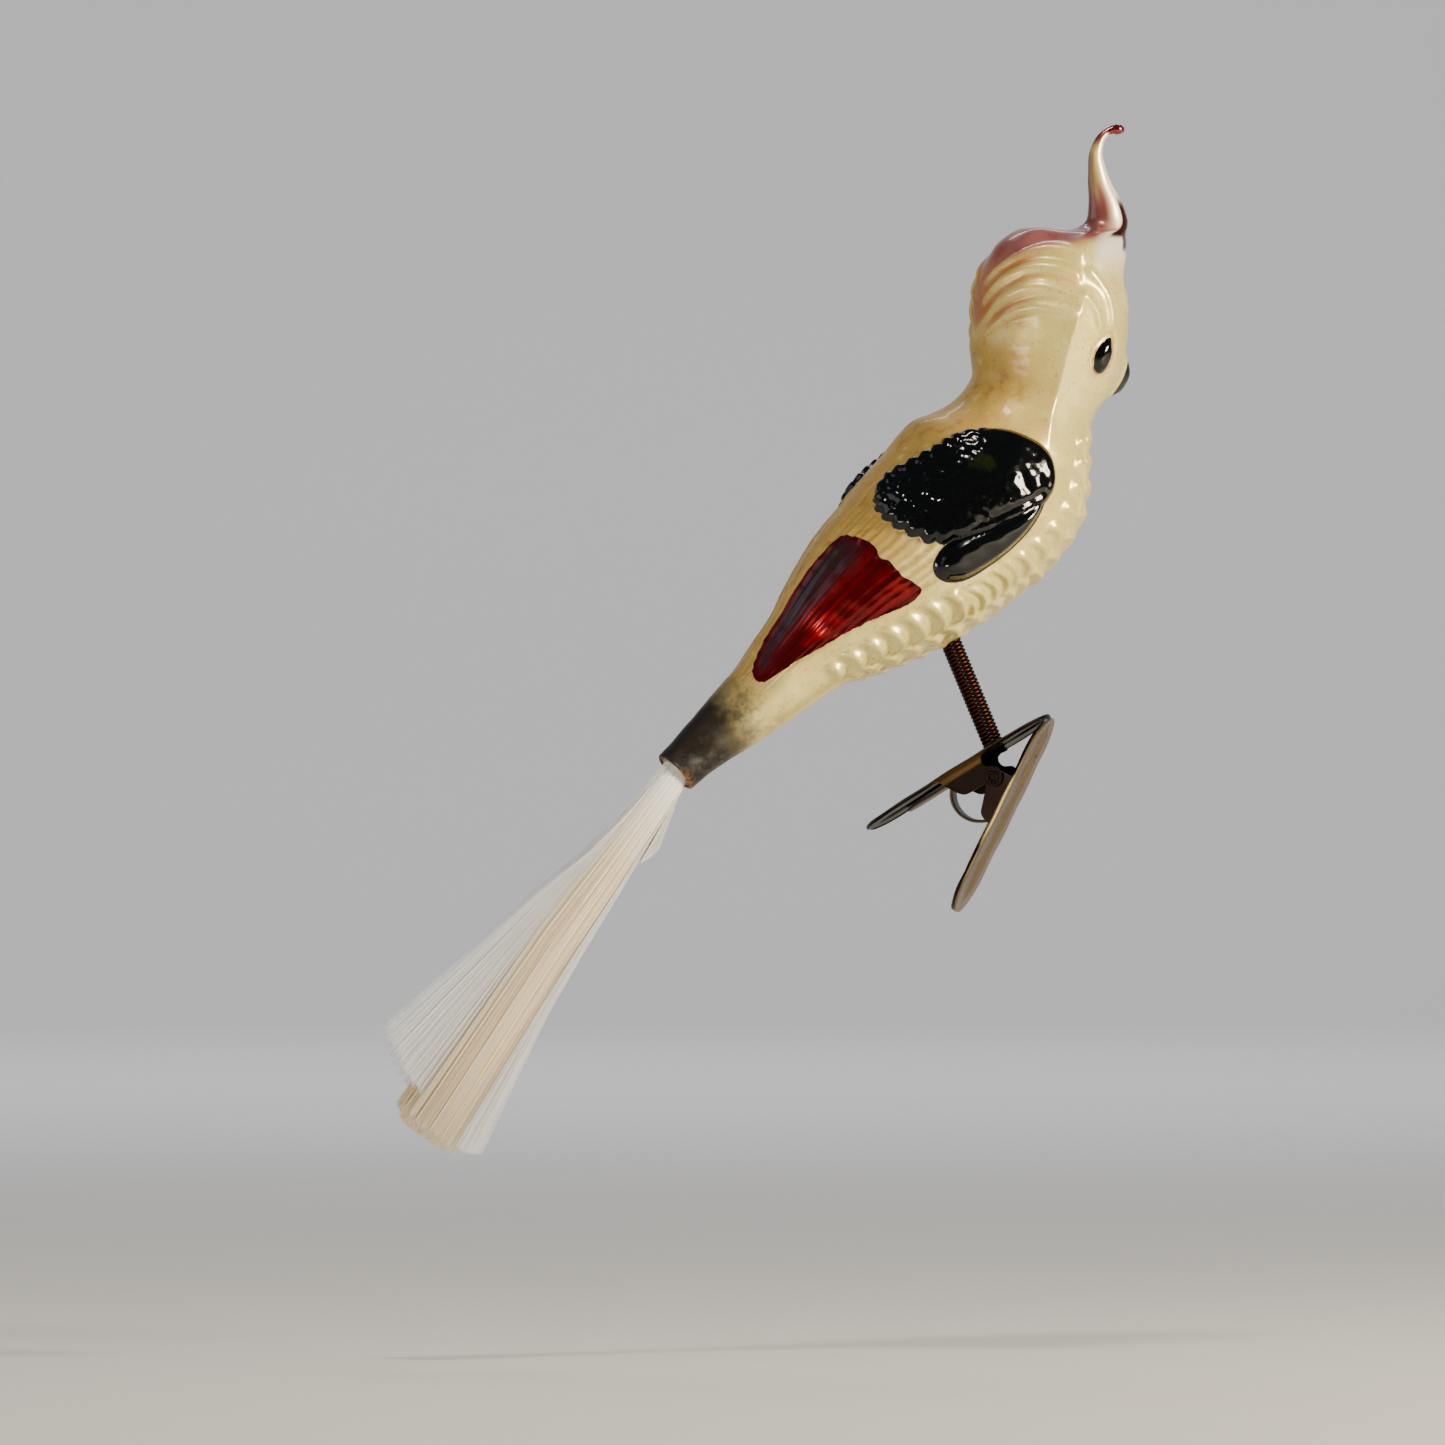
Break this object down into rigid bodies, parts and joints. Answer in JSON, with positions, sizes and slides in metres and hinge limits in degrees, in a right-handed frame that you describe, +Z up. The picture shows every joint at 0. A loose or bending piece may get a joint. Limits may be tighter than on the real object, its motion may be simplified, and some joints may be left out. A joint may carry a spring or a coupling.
{
  "type": "clip-on glass bird ornament",
  "caption": "Hollow silvered glass bird with curled crest and spun-glass tail, on a springy wire leg that turns in a spring-closed metal clip.",
  "frame": {"origin": "where the tips of the two clip jaws meet, on the clip's centreline", "axes": "+X the way the bird faces, +Y the bird's left side, +Z up; the clip is turned 33 degrees from the bird about Z"},
  "size_m": [0.1043, 0.0277, 0.1359],
  "materials": {
    "lacquered_glass": "blown glass silvered inside, lacquered cream, pink, dark red and black green outside",
    "spun_glass": "silky spun glass fibres",
    "copper_wire": "tarnished copper-plated spring wire",
    "clip_sheet": "worn tin-plated steel sheet",
    "clip_sheet_dark": "tarnished tin-plated steel sheet",
    "spring_strip": "dark spring steel strip",
    "cement": "dry plaster",
    "binding": "wound cotton thread",
    "glue": "old brown glue"
  },
  "bodies": {
    "clip": {"clip_top_plate": "clip_sheet_dark", "jaw_spring": "spring_strip"},
    "bottom_jaw": {"clip_bottom_plate": "clip_sheet"},
    "leg_foot": {"leg_coil_foot": "copper_wire", "leg_coil_lower": "copper_wire"},
    "leg_mid": {"leg_coil_middle": "copper_wire"},
    "bird": {"leg_coil_upper": "copper_wire", "leg_cement": "cement", "glass_body": "lacquered_glass", "tail_core": "spun_glass", "tail_rear_fan": "spun_glass", "tail_front_fan": "spun_glass", "tail_short_lock": "spun_glass", "tail_binding": "binding", "tail_glue": "glue"}
  },
  "joints": [
    {"name": "jaw_hinge", "type": "hinge", "parent": "clip", "child": "bottom_jaw", "pos_m": [-0.00543, 0.00353, -0.00788], "axis": [0.5446, 0.8387, 0], "range_deg": [0, 28], "stiffness_Nm_per_rad": 0.01, "springref_deg": -8.59, "deforming": ["jaw_spring"]},
    {"name": "clip_swivel", "type": "hinge", "parent": "clip", "child": "leg_foot", "pos_m": [-0.00621, 0.00403, -0.00399], "axis": [-0.3172, 0.239, 0.9178], "range_deg": [-90, 90]},
    {"name": "leg_sway", "type": "hinge", "parent": "leg_foot", "child": "leg_mid", "pos_m": [-0.00743, 0.00495, -0.00046], "axis": [0.9451, 0, 0.3266], "range_deg": [-15, 15], "stiffness_Nm_per_rad": 0.05, "springref_deg": 0.31, "deforming": ["leg_coil_lower"]},
    {"name": "leg_nod", "type": "hinge", "parent": "leg_mid", "child": "bird", "pos_m": [-0.00987, 0.00679, 0.00661], "axis": [0.0781, 0.971, -0.2259], "range_deg": [-15, 15], "stiffness_Nm_per_rad": 0.05, "springref_deg": 0.53, "deforming": ["leg_coil_upper"]}
  ]
}
